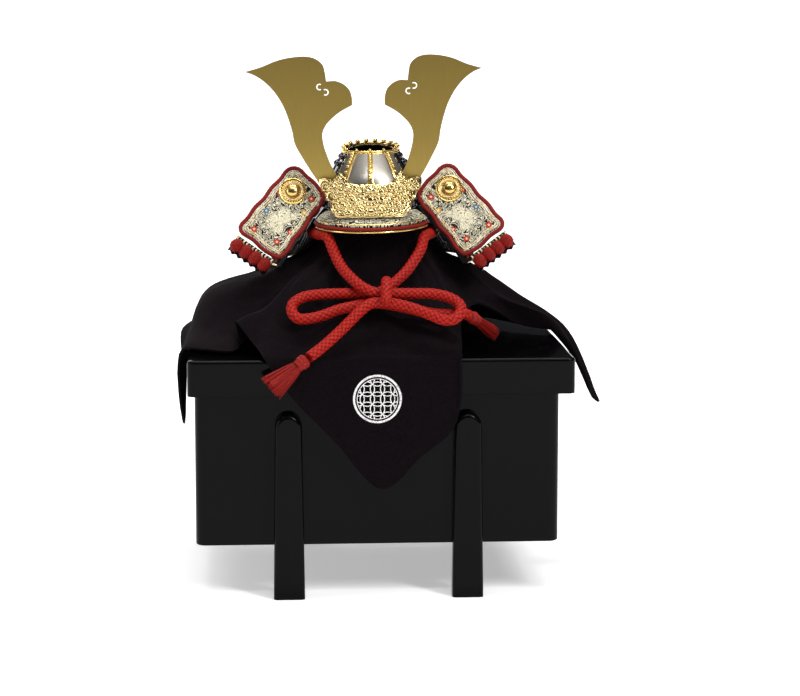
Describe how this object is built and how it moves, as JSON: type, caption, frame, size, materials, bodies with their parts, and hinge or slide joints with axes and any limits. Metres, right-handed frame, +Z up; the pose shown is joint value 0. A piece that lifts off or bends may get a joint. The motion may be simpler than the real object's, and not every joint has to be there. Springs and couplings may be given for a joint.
{
  "type": "display kabuto helmet on storage box stand",
  "caption": "Samurai display helmet with flat horns, gilt crest holder, flared neck guard and turn-backs, tied with a tasselled cord over a cloth-covered stand on a lacquered chest with feet.",
  "frame": {"origin": "bottom centre of the part without its free cord, on the floor between the feet", "axes": "+Z is up, -Y is the front, +X is the viewer's right when looking at the front"},
  "size_m": [0.3796, 0.3179, 0.4605],
  "materials": {
    "lacquer": "gloss black lacquer",
    "stand_paint": "plain matte",
    "cloth": "dark aubergine crepe",
    "black_iron": "blue-black lacquered metal",
    "silver": "satin silver",
    "gold": "polished gilt",
    "brushed_gold": "brushed antique gold",
    "leather": "printed scroll pattern",
    "piping": "dark red cord edging",
    "silk": "red braided silk"
  },
  "bodies": {
    "root": {"case_body": "lacquer", "case_lid": "lacquer", "leg_front_left": "lacquer", "leg_back_left": "lacquer", "leg_front_right": "lacquer", "leg_back_right": "lacquer", "stand_post": "stand_paint", "drape_cloth": "cloth", "bowl": "black_iron", "waist_band": "black_iron", "front_plate": "silver", "spine_center": "gold", "spine_left": "gold", "spine_right": "gold", "crown_ring": "gold", "visor": "leather", "visor_piping": "piping", "visor_rim": "gold", "crest_holder": "gold", "horn_left": "brushed_gold", "horn_right": "brushed_gold", "neck_lame_1": "black_iron", "neck_lame_2": "black_iron", "neck_lame_3": "black_iron", "neck_lame_4": "black_iron", "neck_lame_5": "black_iron", "turnback_left": "leather", "turnback_right": "leather", "turnback_piping_left": "piping", "turnback_piping_right": "piping", "rosette_left": "gold", "rosette_right": "gold", "turnback_lame_left": "black_iron", "turnback_lame_right": "black_iron", "silk_tufts_left": "silk", "silk_tufts_right": "silk", "chin_cord_left": "silk", "chin_cord_right": "silk", "cord_knot": "silk", "tassel_left": "silk", "tassel_right": "silk"}
  },
  "joints": []
}
